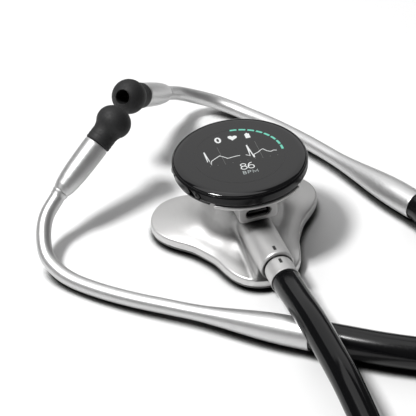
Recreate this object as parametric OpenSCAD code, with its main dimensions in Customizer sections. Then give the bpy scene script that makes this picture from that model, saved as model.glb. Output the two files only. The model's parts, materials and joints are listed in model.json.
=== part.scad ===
// Digital stethoscope: a three-lobed chestpiece with a round display head, a detachable
// tube and a sprung headset. The origin is the middle of the chestpiece's contact face,
// +Z is up and the tube leaves toward -Y.

/* [Chestpiece base] */
// Mean radius of the lobed base
lobe_mean_r = 27.6; // [26:0.1:29]
// How far the lobes swing out from the mean radius
lobe_swing = 6.7; // [5:0.1:7.5]
// Height of the base plate
plate_h = 1.9; // [1.5:0.1:2]
// Height at which the silver shell starts
shell_z0 = 2.7; // [2.6:0.05:2.9]
// Height of the crease at the top of the shell's side wall
crease_z = 5.6; // [5.2:0.1:6]
// Radius of the neck column
neck_r = 11.5; // [11:0.1:12.5]
// Height of the top of the neck
neck_top_z = 29.2; // [28.5:0.1:29.5]
// Diameter of the diaphragm
diaphragm_d = 31; // [28:1:31]
// Diameter of each electrode
electrode_d = 9; // [7:0.5:9]

/* [Display head] */
// Radius of the black head housing
head_r = 24.2; // [23.8:0.1:25]
// Height of the head's underside
head_z0 = 30.7; // [30.6:0.1:31]
// Height of the head's rim, where the glass starts
head_z1 = 34.8; // [34.6:0.1:35.2]
// Radius of the glass lens
lens_r = 23.7; // [23.2:0.1:23.8]
// Height of the top of the glass
lens_z1 = 35.8; // [35.6:0.1:36.2]

/* [Tube] */
// Height of the outlet barrel's axis
outlet_z = 14.2; // [13.8:0.1:14.6]
// Radius of the outlet barrel
barrel_r = 6.1; // [5.9:0.1:6.4]
// Distance from the base's middle to the barrel's end
barrel_end = 38.4; // [37.5:0.1:39]
// Radius of the silver sleeve
sleeve_r = 5.3; // [5.2:0.1:5.5]
// Outside diameter of the main tube
tube_d = 9.8; // [9.6:0.1:10.2]
// Outside diameter of the two branch tubes
branch_d = 11.4; // [11:0.1:11.6]

/* [Headset] */
// Outside diameter of the ear tubes
ear_tube_d = 5.5; // [5:0.1:5.6]
// Outside diameter of the ear tubes' flared ends
flare_d = 10.6; // [10.2:0.1:10.6]
// Diameter of an ear tip
tip_d = 13.2; // [12:0.1:13.4]

/* [Hidden] */
$fn = 64;

// ---- lobed outline: three lobes, the front one over the tube ----
outline_step = 4;
lobe_dirs = [-90, 30, 150];
// smaller waves that round the lobes' ends and flatten the bays
second_wave = 0.2;
third_wave = -0.4;
function lobe_r(a) = let (b = 3 * (a - lobe_dirs[1]))
    lobe_mean_r + lobe_swing * cos(b) + second_wave * cos(2 * b) + third_wave * cos(3 * b);
function polar(r, a) = [r * cos(a), r * sin(a)];

module lobed(z0, z1, inset) {
    translate([0, 0, z0])
        linear_extrude(z1 - z0)
            polygon([for (a = [0 : outline_step : 359]) polar(lobe_r(a) - inset, a)]);
}

// ---- swept tubes ----
function unit(v) = v / norm(v);
// point on a smooth curve through the route's points, t counted in points
function route_at(p, t) =
    let (n = len(p) - 1, i = min(floor(t), n - 1), u = t - i,
        a = p[i] * 2 - p[i + 1], b = p[i + 1] * 2 - p[i],
        p0 = i > 0 ? p[i - 1] : a, p1 = p[i], p2 = p[i + 1], p3 = i < n - 1 ? p[i + 2] : b)
    0.5 * (2 * p1 + (p2 - p0) * u + (2 * p0 - 5 * p1 + 4 * p2 - p3) * u * u
        + (3 * p1 - p0 - 3 * p2 + p3) * u * u * u);
function route_points(p, per) = [for (k = [0 : (len(p) - 1) * per]) route_at(p, k / per)];
function tangent(q, i) = unit(q[min(i + 1, len(q) - 1)] - q[max(i - 1, 0)]);
function side_axis(t) = unit(cross(t, [0, 0, 1]));
function ring(c, t, r, sides) =
    let (x = side_axis(t), y = cross(t, x))
    [for (j = [0 : sides - 1]) c + r * (x * cos(j * 360 / sides) + y * sin(j * 360 / sides))];
function flat(l) = [for (a = l) for (b = a) b];

// one closed tube through the points q, with a radius for each point
module swept_rod(q, radii, sides) {
    n = len(q);
    pts = flat([for (i = [0 : n - 1]) ring(q[i], tangent(q, i), radii[i], sides)]);
    walls = [for (i = [0 : n - 2]) for (j = [0 : sides - 1])
        let (k = (j + 1) % sides)
        [i * sides + j, (i + 1) * sides + j, (i + 1) * sides + k, i * sides + k]];
    start_cap = [for (j = [0 : sides - 1]) j];
    end_cap = [for (j = [sides - 1 : -1 : 0]) (n - 1) * sides + j];
    polyhedron(points = pts, faces = concat(walls, [start_cap, end_cap]), convexity = 6);
}

// a tube with a bore, open at both ends
module swept_tube(q, radii, bores, sides) {
    n = len(q);
    outer = flat([for (i = [0 : n - 1]) ring(q[i], tangent(q, i), radii[i], sides)]);
    inner = flat([for (i = [0 : n - 1]) ring(q[i], tangent(q, i), bores[i], sides)]);
    m = n * sides;
    outer_walls = [for (i = [0 : n - 2]) for (j = [0 : sides - 1])
        let (k = (j + 1) % sides)
        [i * sides + j, (i + 1) * sides + j, (i + 1) * sides + k, i * sides + k]];
    inner_walls = [for (i = [0 : n - 2]) for (j = [0 : sides - 1])
        let (k = (j + 1) % sides)
        [m + i * sides + k, m + (i + 1) * sides + k, m + (i + 1) * sides + j, m + i * sides + j]];
    start_face = [for (j = [0 : sides - 1])
        let (k = (j + 1) % sides) [j, k, m + k, m + j]];
    e = (n - 1) * sides;
    end_face = [for (j = [0 : sides - 1])
        let (k = (j + 1) % sides) [e + k, e + j, m + e + j, m + e + k]];
    polyhedron(points = concat(outer, inner),
        faces = concat(outer_walls, inner_walls, start_face, end_face), convexity = 8);
}

// ---- placing helpers ----
module along_tube(y, z = outlet_z) { translate([0, -y, z]) rotate([90, 0, 0]) children(); }
module pipe(r_out, r_in, h) {
    difference() {
        cylinder(r = r_out, h = h);
        translate([0, 0, -1]) cylinder(r = r_in, h = h + 2);
    }
}
// points z towards the direction d
module aim(d) { rotate([0, acos(unit(d)[2]), atan2(d[1], d[0])]) children(); }
module stadium(w, h) {
    square([w - h, h], center = true);
    for (s = [-1, 1]) translate([s * (w - h) / 2, 0]) circle(d = h);
}
// a bar of the ring between two radii, centred on direction a
module ring_bar(r0, r1, z0, z1, a, span) {
    rotate([0, 0, a - span / 2])
        rotate_extrude(angle = span)
            translate([r0, z0]) square([r1 - r0, z1 - z0]);
}

// ---- base ----
plate_inset = 1.9;
trim_z1 = 2.3;
trim_inset = 0.25;
seal_inset = 0.5;
shell_wall = 2;
roof_z = 5.2;
board_bay_r = 15.6;
board_bay_z = 6.2;
neck_bore_r = 9.7;
ring_out_r = 17;
electrode_r = 23.5;
screw_dirs = [for (a = lobe_dirs) for (s = [-20, 20]) a + s];
screw_pos_r = 24.5;
screw_shank_r = 0.7;
screw_head_r = 1.3;
screw_head_z = 1.2;
screw_top_z = 5;
boss_r = 1.8;
// how far each ring of the shell has closed in on the neck, and its height
shell_rings = [[0, shell_z0], [0, crease_z], [0.03, crease_z + 0.5], [0.25, 6.9], [0.5, 7.9],
    [0.68, 9.2], [0.8, 11], [0.9, 13.6], [0.97, 17.5], [1, 21.5], [1, neck_top_z]];
shell_step = 5;

module shell_body() {
    n = 360 / shell_step;
    m = len(shell_rings);
    pts = flat([for (k = shell_rings) [for (j = [0 : n - 1])
        let (a = j * shell_step, r = lobe_r(a) * (1 - k[0]) + neck_r * k[0])
        [r * cos(a), r * sin(a), k[1]]]]);
    walls = [for (i = [0 : m - 2]) for (j = [0 : n - 1])
        let (k = (j + 1) % n)
        [i * n + j, (i + 1) * n + j, (i + 1) * n + k, i * n + k]];
    polyhedron(points = pts, faces = concat(walls, [[for (j = [0 : n - 1]) j],
        [for (j = [n - 1 : -1 : 0]) (m - 1) * n + j]]), convexity = 8);
}

web_w = 10.8;
web_front = 35.5;
outlet_bore_r = 4.3;
mark_w = 1.1;
mark_l = 2.3;
mark_depth = 0.4;
barrel_mark_y = 34.4;
module barrel_mark_block() {
    translate([-mark_w / 2, -barrel_mark_y - mark_l, outlet_z + barrel_r - mark_depth])
        cube([mark_w, mark_l, 1]);
}
module base_shell() {
    color("silver")
        difference() {
            union() {
                difference() {
                    shell_body();
                    lobed(shell_z0 - 1, roof_z, shell_wall);
                    translate([0, 0, shell_z0 - 1]) cylinder(r = board_bay_r, h = board_bay_z - shell_z0 + 1);
                }
                for (a = screw_dirs)
                    rotate([0, 0, a]) translate([screw_pos_r, 0, shell_z0])
                        cylinder(r = boss_r, h = roof_z - shell_z0 + 1);
                along_tube(neck_r - 3) cylinder(r = barrel_r, h = barrel_end - neck_r + 3);
                translate([-web_w / 2, -web_front, board_bay_z])
                    cube([web_w, web_front - neck_r + 3, outlet_z - board_bay_z]);
            }
            translate([0, 0, roof_z - 1]) cylinder(r = neck_bore_r, h = neck_top_z);
            along_tube(neck_bore_r - 2) cylinder(r = outlet_bore_r, h = barrel_end);
            for (a = screw_dirs)
                rotate([0, 0, a]) translate([screw_pos_r, 0, shell_z0 - 1])
                    cylinder(r = screw_shank_r, h = screw_top_z - shell_z0 + 1.3);
            for (a = head_screw_dirs)
                rotate([0, 0, a]) translate([head_screw_r, 0, head_screw_z0 - 0.3])
                    cylinder(r = head_shank_r, h = 10);
            translate([-window_w / 2, -neck_r - 1, port_z - window_h / 2])
                cube([window_w, 5, window_h]);
            barrel_mark_block();
        }
}
module barrel_mark() {
    color("dimgray")
        intersection() {
            along_tube(neck_r) cylinder(r = barrel_r, h = barrel_end - neck_r);
            barrel_mark_block();
        }
}
module base_plate() {
    color("black")
        difference() {
            lobed(0, plate_h, plate_inset);
            translate([0, 0, -1]) cylinder(r = ring_out_r, h = 4);
            for (a = lobe_dirs)
                rotate([0, 0, a]) translate([electrode_r, 0, -1]) {
                    cylinder(d = electrode_d, h = electrode_h + 1);
                    cylinder(r = electrode_pin_r, h = 4);
                }
            for (a = screw_dirs)
                rotate([0, 0, a]) translate([screw_pos_r, 0, -1]) {
                    cylinder(r = screw_head_r, h = screw_head_z + 1);
                    cylinder(r = screw_shank_r, h = 4);
                }
        }
}
module trim_ring() {
    color("gray")
        difference() {
            lobed(plate_h, trim_z1, trim_inset);
            lobed(plate_h - 1, trim_z1 + 1, shell_wall + 1.5);
        }
}
module base_seal() {
    color("black")
        difference() {
            lobed(trim_z1, shell_z0, seal_inset);
            lobed(trim_z1 - 1, shell_z0 + 1, shell_wall);
        }
}
electrode_h = 1;
electrode_pin_r = 1.1;
electrode_pin_z = 4;
module electrodes() {
    color("silver")
        for (a = lobe_dirs)
            rotate([0, 0, a]) translate([electrode_r, 0, 0]) {
                cylinder(d = electrode_d, h = electrode_h);
                cylinder(r = electrode_pin_r, h = electrode_pin_z);
            }
}
diaphragm_h = 0.4;
ring_lip = 1;
ring_h = 2.2;
module diaphragm() { color("dimgray") cylinder(d = diaphragm_d, h = diaphragm_h); }
module diaphragm_ring() {
    r = diaphragm_d / 2;
    color("black")
        rotate_extrude()
            polygon([[r, 0], [ring_out_r, 0], [ring_out_r, ring_h], [r - ring_lip, ring_h],
                [r - ring_lip, diaphragm_h], [r, diaphragm_h]]);
}
board_z = 4.5;
board_h = 0.7;
board_r = 15;
mic_r = 3;
mic_h = 1.3;
module main_board() {
    color("green") translate([0, 0, board_z]) cylinder(r = board_r, h = board_h);
}
module microphone() {
    color("goldenrod") translate([0, 0, board_z - mic_h]) cylinder(r = mic_r, h = mic_h);
}
screw_recess = 0.4;
module base_screws() {
    color("gray")
        for (a = screw_dirs)
            rotate([0, 0, a]) translate([screw_pos_r, 0, 0]) {
                translate([0, 0, screw_recess])
                    cylinder(r = screw_head_r, h = screw_head_z - screw_recess);
                cylinder(r = screw_shank_r, h = screw_top_z);
            }
}
battery_y = 0.8;
battery_z = 18.6;
battery_r = 7.2;
battery_h = 10;
module battery() {
    color("lightblue")
        translate([0, battery_y, battery_z]) cylinder(r = battery_r, h = battery_h);
}
speaker_y = 2.2;
speaker_r = 4.2;
speaker_l = 5.3;
module speaker() { color("gray") along_tube(speaker_y) cylinder(r = speaker_r, h = speaker_l); }
flex_w = 6;
flex_y = 8.6;
flex_t = 0.25;
module flex_cable() {
    z0 = board_z + board_h;
    color("orange")
        translate([-flex_w / 2, flex_y, z0]) cube([flex_w, flex_t, display_board_z - z0]);
}
module flex_slot() {
    translate([-flex_w / 2 - 0.5, flex_y - 0.4, neck_top_z - 1]) cube([flex_w + 1, 1, 5]);
}

// ---- head ----
head_floor = 1.3;
head_bore_r = 21.4;
head_screw_dirs = [45, 135, 225, 315];
head_screw_r = 10.6;
head_shank_r = 0.8;
head_screw_z0 = 26;
head_cap_r = 1.5;
head_cap_h = 0.7;
window_w = 8;
window_h = 4;
port_z = 24.1;
port_w = 9;
port_h = 3.2;
port_wall = 0.3;
port_depth = 7.4;
port_face = 19.4;
box_w = 14.5;
box_z0 = 20.6;
box_corner = 2.2;
saddle_span = 84;
saddle_disc_r = 13;
cable_hole_r = 5;
module port_box() {
    h = neck_top_z - box_z0;
    translate([0, -neck_r + 1, box_z0])
        rotate([90, 0, 0])
            linear_extrude(port_face - neck_r + 1) {
                translate([-box_w / 2, box_corner]) square([box_w, h - box_corner]);
                translate([-box_w / 2 + box_corner, 0]) square([box_w - 2 * box_corner, h]);
                for (s = [-1, 1])
                    translate([s * (box_w / 2 - box_corner), box_corner]) circle(r = box_corner);
            }
}
module head_saddle() {
    color("silver")
        difference() {
            union() {
                translate([0, 0, neck_top_z])
                    cylinder(r = saddle_disc_r, h = head_z0 - neck_top_z);
                ring_bar(saddle_disc_r - 1, head_r - 0.1, neck_top_z, head_z0, -90, saddle_span);
                port_box();
            }
            translate([0, 0, box_z0 - 1]) cylinder(r = neck_r, h = neck_top_z - box_z0 + 1);
            translate([0, 0, neck_top_z - 1]) cylinder(r = cable_hole_r, h = 4);
            along_tube(neck_r - 2, port_z)
                linear_extrude(port_face) stadium(port_w, port_h);
            for (a = head_screw_dirs)
                rotate([0, 0, a]) translate([head_screw_r, 0, neck_top_z - 1])
                    cylinder(r = head_shank_r, h = 4);
            flex_slot();
        }
}
module port_shell() {
    color("gray")
        along_tube(port_face - port_depth, port_z)
            linear_extrude(port_depth - 0.1)
                difference() {
                    stadium(port_w, port_h);
                    stadium(port_w - 2 * port_wall, port_h - 2 * port_wall);
                }
}
tongue_base = 1.2;
tongue_w = 6.7;
tongue_t = 0.7;
module port_tongue() {
    color("black")
        along_tube(port_face - port_depth, port_z) {
            linear_extrude(tongue_base) stadium(port_w - 2 * port_wall, port_h - 2 * port_wall);
            linear_extrude(port_depth - tongue_base) square([tongue_w, tongue_t], center = true);
        }
}
control_z0 = 31.8;
control_z1 = 33.9;
control_gap = 0.4;
control_in_r = 22.9;
control_out_r = 24.6;
pocket_r = 22.1;
rocker_dir = 192;
rocker_span = 50;
button_dir = 0;
button_span = 20;
skirt_h = 0.7;
skirt_w = 3;
skirt_gap = 1.5;
skirt_step = 0.6;
skirt_root = 0.3;
housing_foot = [0.9, 1];
housing_brow = 0.3;
module control_pocket(a, span) {
    ring_bar(pocket_r, head_r + 1, control_z0 - control_gap, control_z1 + control_gap, a, span + 3);
}
module head_housing() {
    color("#222222")
        difference() {
            union() {
                rotate_extrude()
                    polygon([[0, head_z0], [head_r - housing_foot[0], head_z0],
                        [head_r, head_z0 + housing_foot[1]], [head_r, head_z1 - housing_brow],
                        [head_r - housing_brow, head_z1], [head_bore_r, head_z1],
                        [head_bore_r, head_z0 + head_floor], [0, head_z0 + head_floor]]);
                ring_bar(head_r - skirt_step - skirt_w, head_r - skirt_step, head_z0 - skirt_h,
                    head_z0 + skirt_root, 90, 360 - saddle_span - 2 * skirt_gap);
            }
            control_pocket(rocker_dir, rocker_span);
            control_pocket(button_dir, button_span);
            for (a = head_screw_dirs)
                rotate([0, 0, a]) translate([head_screw_r, 0, head_z0 - 1]) {
                    cylinder(r = head_shank_r, h = 4);
                    translate([0, 0, head_floor + 1 - head_cap_h - 0.1])
                        cylinder(r = head_cap_r, h = 2);
                }
            flex_slot();
        }
}
module head_screws() {
    cap_z = head_z0 + head_floor - head_cap_h - 0.1;
    color("gray")
        for (a = head_screw_dirs)
            rotate([0, 0, a]) translate([head_screw_r, 0, 0]) {
                translate([0, 0, cap_z]) cylinder(r = head_cap_r, h = head_cap_h);
                translate([0, 0, head_screw_z0])
                    cylinder(r = head_shank_r, h = cap_z - head_screw_z0 + 0.3);
            }
}
display_board_z = 32.2;
display_board_r = 20;
module display_board() {
    color("green") translate([0, 0, display_board_z]) cylinder(r = display_board_r, h = board_h);
}
panel_r = 17.6;
panel_h = 1.5;
module display_panel() {
    color("darkslategray") translate([0, 0, head_z1 - panel_h]) cylinder(r = panel_r, h = panel_h);
}
gasket_h = 0.6;
gasket_bore_r = 19.5;
module lens_gasket() {
    color("black")
        translate([0, 0, head_z1 - gasket_h]) pipe(head_bore_r, gasket_bore_r, gasket_h);
}
lens_edge = 0.2;
lens_bevel = 2.6;
bevel_steps = 6;
module display_lens() {
    h = lens_z1 - head_z1 - lens_edge;
    bevel = [for (k = [0 : bevel_steps])
        let (a = 90 * k / bevel_steps)
        [lens_r - lens_bevel * (1 - cos(a)), head_z1 + lens_edge + h * sin(a)]];
    color("#333333")
        rotate_extrude()
            polygon(concat([[0, head_z1], [lens_r, head_z1]], bevel, [[0, lens_z1]]));
}
module power_button() {
    color("#111111")
        ring_bar(control_in_r, control_out_r, control_z0, control_z1, button_dir, button_span);
}
module volume_rocker() {
    color("#111111")
        ring_bar(control_in_r, control_out_r, control_z0, control_z1, rocker_dir, rocker_span);
}
switch_dirs = [button_dir, rocker_dir - 15, rocker_dir + 15];
switch_r = 18.2;
switch_size = [1.6, 2.6, 0.8];
module rim_switches() {
    color("silver")
        for (a = switch_dirs)
            rotate([0, 0, a]) translate([switch_r, -switch_size[1] / 2, display_board_z + board_h])
                cube(switch_size);
}

// ---- tube connection ----
socket_bore_r = 3.25;
stem_r = 3.2;
stem_bore_r = 1.5;
stem_start = 24;
sleeve_start = 38.9;
sleeve_end = 46.5;
o_ring_y = 29;
o_ring_r = 0.55;
o_ring_floor = 2.14;
sleeve_mark_y = 40.2;
module outlet_socket() {
    color("gray") along_tube(neck_bore_r + 0.3)
        pipe(outlet_bore_r, socket_bore_r, barrel_end - neck_bore_r - 0.5);
}
module plug_stem() {
    color("silver")
        difference() {
            along_tube(stem_start) pipe(stem_r, stem_bore_r, sleeve_end - stem_start - 0.1);
            along_tube(o_ring_y - o_ring_r - 0.1) pipe(stem_r + 1, o_ring_floor, 2 * o_ring_r + 0.2);
        }
}
module plug_o_ring() {
    color("black")
        along_tube(o_ring_y)
            rotate_extrude() translate([o_ring_floor + o_ring_r, 0]) circle(r = o_ring_r, $fn = 32);
}
module sleeve_mark_block() {
    translate([-mark_w / 2, -sleeve_mark_y - mark_l, outlet_z + sleeve_r - mark_depth])
        cube([mark_w, mark_l, 1]);
}
module tube_sleeve() {
    color("silver")
        difference() {
            along_tube(sleeve_start) pipe(sleeve_r, stem_r, sleeve_end - sleeve_start);
            sleeve_mark_block();
        }
}
module sleeve_mark() {
    color("dimgray")
        intersection() {
            along_tube(sleeve_start) cylinder(r = sleeve_r, h = sleeve_end - sleeve_start);
            sleeve_mark_block();
        }
}

// ---- main tube: out of the sleeve, over the left branch, down to the surface and round ----
tube_route = [[0, -46.5, 14.2], [0, -58, 15.6], [0, -72, 17.2], [0, -88, 17.5], [0, -104, 17],
    [0, -122, 13.5], [0, -142, 8.5], [0, -163, 5.6], [0, -184, 5], [5, -207, 5], [18, -226, 5],
    [37, -239, 5], [60, -244, 5], [78, -244, 5], [98, -238, 5], [115, -225, 5], [127, -207, 5],
    [131, -186, 5], [128, -165, 5], [121, -149, 5.5], [113, -139, 6]];
tube_rings_per_point = 3;
tube_sides = 12;
module main_tube() {
    q = route_points(tube_route, tube_rings_per_point);
    color("#1a1a1a") swept_rod(q, [for (p = q) tube_d / 2], tube_sides);
}

// ---- headset: x runs from the yoke to the ears, y to the left ----
headset_origin = [104, -128, 0];
headset_turn = 129;
arm_z = 6;
arm_turn = 20;
stem_back = 14;
arm_start = [-9, 1.1];
arm_l = 14.6;
yoke_r = 6;
yoke_bore_r = 3;
module headset_frame() { translate(headset_origin) rotate([0, 0, headset_turn]) children(); }
module along_x(x, y = 0, z = arm_z) { translate([x, y, z]) rotate([0, 90, 0]) children(); }
module yoke_arms(r, l) {
    for (s = [-1, 1])
        translate([arm_start[0], s * arm_start[1], arm_z])
            rotate([0, 0, s * arm_turn]) rotate([0, 90, 0]) cylinder(r = r, h = l);
}
module yoke() {
    color("#1a1a1a")
        headset_frame()
            difference() {
                union() {
                    along_x(-stem_back) cylinder(r = yoke_r, h = stem_back - 4);
                    yoke_arms(branch_d / 2, arm_l);
                }
                along_x(-stem_back - 1) cylinder(r = yoke_bore_r, h = stem_back - 4);
                yoke_arms(yoke_bore_r, arm_l + 1);
            }
}
spring_t = 0.5;
spring_w = 4;
spring_start = 3;
module yoke_spring() {
    color("silver")
        headset_frame()
            for (s = [-1, 1])
                translate([arm_start[0], s * arm_start[1], arm_z - spring_w / 2])
                    rotate([0, 0, s * arm_turn])
                        translate([spring_start, s > 0 ? 0 : -spring_t, 0])
                            cube([arm_l - spring_start, spring_t, spring_w]);
}

// left side's flared end and the direction in which its ear tube sets off
left_flare = [112, 40.8, 5.4];
left_axis = unit([29, 5.8, -0.8]);
right_flare = [115, -39.3, 5.4];
right_splay = -5.9;
right_roll = -2;
flat_axis = [left_axis[0], -left_axis[1], 0];
module left_side() { headset_frame() children(); }
module right_side() {
    headset_frame()
        translate(right_flare) rotate([0, 0, right_splay]) rotate(a = right_roll, v = flat_axis)
            mirror([0, 1, 0]) translate(-left_flare) children();
}
// direction of the right ear tube at its flared end
function turned(v, a) = [v[0] * cos(a) - v[1] * sin(a), v[0] * sin(a) + v[1] * cos(a), v[2]];
right_axis = turned([left_axis[0], -left_axis[1], left_axis[2]], right_splay);

left_branch_route = [[7, 6.8, 6], [15, 9.6, 6], [27, 13.8, 6], [43, 19.4, 6], [60, 25.6, 6],
    [77, 32, 6], [89, 35.8, 6], [100, 38.4, 5.8], left_flare - 6 * left_axis,
    left_flare - 0.4 * left_axis];
right_branch_route = [[7, -6.8, 6], [15, -9.6, 6], [27, -13.8, 6], [43, -18.8, 6],
    [60, -23.8, 6], [77, -28.4, 6], [90, -31.6, 6], [102, -35.2, 5.8],
    right_flare - 6 * right_axis, right_flare - 0.4 * right_axis];
branch_bore_r = 3;
branch_end_r = 5;
branch_sides = 12;
coupling_r = 4.2;
coupling_l = 4;
coupling_root = 3;
coupling_bore_r = 2.2;
bore_clearance = 0.05;
module branch_tube(route, end, axis) {
    q = route_points(route, 2);
    n = len(q);
    radii = [for (i = [0 : n - 1])
        i < n - 4 ? branch_d / 2 : branch_end_r + (n - 1 - i) / 4 * (branch_d / 2 - branch_end_r)];
    color("#1a1a1a")
        headset_frame() {
            swept_tube(q, radii, [for (p = q) branch_bore_r], branch_sides);
            translate(end - coupling_root * axis) aim(axis)
                pipe(coupling_r, coupling_bore_r, coupling_l + coupling_root);
        }
}

ear_route = [left_flare, left_flare + 6 * left_axis, left_flare + 14 * left_axis,
    [136, 45.6, 4.7], [149, 48.2, 4.3], [163, 51, 3.9], [177, 53.4, 3.3], [190, 54.8, 2.9],
    [201, 55, 2.85], [209, 54, 3.9], [215.8, 51.3, 6], [220.8, 46, 9.6], [223.3, 40, 13.7],
    [222.8, 32.6, 18.5]];
tip_joint = [218.2, 13.7, 30.5];
tip_axis = tip_joint - ear_route[len(ear_route) - 1];
flare_l = 38;
flare_start = 8;
ear_wall = 0.85;
ear_sides = 14;
function smooth(t) = let (c = min(1, max(0, t))) c * c * (3 - 2 * c);
function ear_r(q) = ear_tube_d / 2 + (flare_d - ear_tube_d) / 2
    * (1 - smooth((norm(q - left_flare) - flare_start) / flare_l));
module ear_tube() {
    q = route_points(ear_route, 3);
    color("silver")
        difference() {
            swept_tube(q, [for (p = q) ear_r(p)], [for (p = q) ear_r(p) - ear_wall], ear_sides);
            translate(left_flare - left_axis) aim(left_axis)
                cylinder(r = coupling_r + bore_clearance, h = coupling_l + 1.3);
        }
}

ferrule_l = norm(tip_axis);
// ferrule's radius along its length, narrow end first
ferrule_profile = [[2.9, 0.1], [3.2, 1], [3.75, 3.5], [4.2, 6.5], [4.5, 10], [4.7, 15],
    [4.8, ferrule_l]];
ferrule_bore_r = 1.6;
nozzle_r = 2.2;
nozzle_bore_r = 1.4;
nozzle_l = 7;
module at_ear_end() { translate(ear_route[len(ear_route) - 1]) aim(tip_axis) children(); }
module ferrule() {
    color("silver")
        at_ear_end()
            rotate_extrude()
                polygon(concat([[ferrule_bore_r, 0.1]], ferrule_profile, [[ferrule_bore_r, ferrule_l]]));
}
module nozzle() {
    color("gray") at_ear_end() translate([0, 0, ferrule_l]) pipe(nozzle_r, nozzle_bore_r, nozzle_l);
}
tip_gap = 0.3;
tip_ball_z = 10.4;
tip_ball_h = 12;
tip_hole_r = 2.75;
tip_hole_edge = 0.6;
tip_arc = [-90, 64];
tip_arc_steps = 12;
tip_collar_r = 4.9;
tip_collar_h = 3;
module ear_tip() {
    ball = [for (k = [0 : tip_arc_steps])
        let (a = tip_arc[0] + (tip_arc[1] - tip_arc[0]) * k / tip_arc_steps)
        [tip_d / 2 * cos(a), tip_ball_z + tip_ball_h / 2 * sin(a)]];
    outer = [for (p = ball) if (p[0] > tip_collar_r || p[1] > tip_ball_z) p];
    color("#333333")
        at_ear_end()
            translate([0, 0, ferrule_l])
                rotate_extrude()
                    polygon(concat([[nozzle_r + bore_clearance, tip_gap],
                        [tip_collar_r - 0.2, tip_gap], [tip_collar_r, tip_gap + 0.3],
                        [tip_collar_r - 0.1, tip_collar_h]], outer,
                        [[tip_hole_r, tip_ball_z + tip_ball_h / 2 - tip_hole_edge], [tip_hole_r, tip_ball_z + 2],
                        [nozzle_r + bore_clearance, tip_ball_z - 1.5]]));
}
module left_branch_tube() { branch_tube(left_branch_route, left_flare, left_axis); }
module left_ear_tube() { left_side() ear_tube(); }
module left_ferrule() { left_side() ferrule(); }
module left_nozzle() { left_side() nozzle(); }
module left_ear_tip() { left_side() ear_tip(); }
module right_branch_tube() { branch_tube(right_branch_route, right_flare, right_axis); }
module right_ear_tube() { right_side() ear_tube(); }
module right_ferrule() { right_side() ferrule(); }
module right_nozzle() { right_side() nozzle(); }
module right_ear_tip() { right_side() ear_tip(); }

base_plate();
trim_ring();
base_seal();
base_shell();
head_saddle();
head_housing();
lens_gasket();
display_panel();
display_lens();
main_board();
battery();
speaker();
flex_cable();
display_board();
port_shell();
port_tongue();
power_button();
volume_rocker();
rim_switches();
electrodes();
diaphragm();
diaphragm_ring();
microphone();
base_screws();
head_screws();
outlet_socket();
barrel_mark();
tube_sleeve();
sleeve_mark();
plug_stem();
plug_o_ring();
main_tube();
yoke();
yoke_spring();
left_branch_tube();
left_ear_tube();
left_ferrule();
left_nozzle();
left_ear_tip();
right_branch_tube();
right_ear_tube();
right_ferrule();
right_nozzle();
right_ear_tip();
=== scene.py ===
"""Digital stethoscope on a white surface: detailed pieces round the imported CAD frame.

Lengths in this file are millimetres in the row frame, and mesh_piece() turns them into metres.
"""

import json
import math

import bpy
import numpy as np
import openvdb
from mathutils import Matrix, Vector


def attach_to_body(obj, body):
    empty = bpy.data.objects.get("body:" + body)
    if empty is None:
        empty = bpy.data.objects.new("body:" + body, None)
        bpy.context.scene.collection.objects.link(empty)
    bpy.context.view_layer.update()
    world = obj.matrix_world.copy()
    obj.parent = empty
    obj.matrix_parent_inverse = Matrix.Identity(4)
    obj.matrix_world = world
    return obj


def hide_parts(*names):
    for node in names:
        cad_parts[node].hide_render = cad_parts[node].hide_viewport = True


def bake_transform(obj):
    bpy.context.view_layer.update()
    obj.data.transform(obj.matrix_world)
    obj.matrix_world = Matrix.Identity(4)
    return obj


MM = 0.001

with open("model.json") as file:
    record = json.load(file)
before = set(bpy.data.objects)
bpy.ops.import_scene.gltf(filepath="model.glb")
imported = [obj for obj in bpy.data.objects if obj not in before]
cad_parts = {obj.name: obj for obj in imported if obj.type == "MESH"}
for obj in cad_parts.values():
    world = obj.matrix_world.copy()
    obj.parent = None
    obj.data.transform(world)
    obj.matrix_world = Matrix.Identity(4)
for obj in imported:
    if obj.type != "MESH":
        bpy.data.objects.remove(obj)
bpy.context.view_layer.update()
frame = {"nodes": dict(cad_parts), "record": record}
nodes = frame["nodes"]


# ---------------------------------------------------------------- camera
CAM_TARGET = (-12.43, 1.21, 15.0)
CAM_AZIMUTH = -15.69
CAM_ELEVATION = 37.47
CAM_ROLL = -3.75
CAM_DISTANCE = 647.2
CAM_LENS = 155.8
SENSOR = 36.0


def make_camera():
    az, el, roll = (math.radians(a) for a in (CAM_AZIMUTH, CAM_ELEVATION, CAM_ROLL))
    right = Vector((math.cos(az), math.sin(az), 0))
    back = Vector((math.sin(az) * math.cos(el), -math.cos(az) * math.cos(el), math.sin(el)))
    up = back.cross(right)
    cam_right = right * math.cos(roll) + up * math.sin(roll)
    cam_up = up * math.cos(roll) - right * math.sin(roll)
    place = Vector(CAM_TARGET) * MM + back * CAM_DISTANCE * MM
    data = bpy.data.cameras.new("camera")
    data.lens = CAM_LENS
    data.sensor_width = SENSOR
    data.clip_start = 0.01
    data.clip_end = 20
    cam = bpy.data.objects.new("camera", data)
    bpy.context.scene.collection.objects.link(cam)
    m = Matrix((cam_right, cam_up, back)).transposed().to_4x4()
    m.translation = place
    cam.matrix_world = m
    bpy.context.scene.camera = cam


make_camera()


# ---------------------------------------------------------------- mesh helpers
def unit(v):
    v = np.asarray(v, float)
    return v / np.linalg.norm(v)


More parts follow.
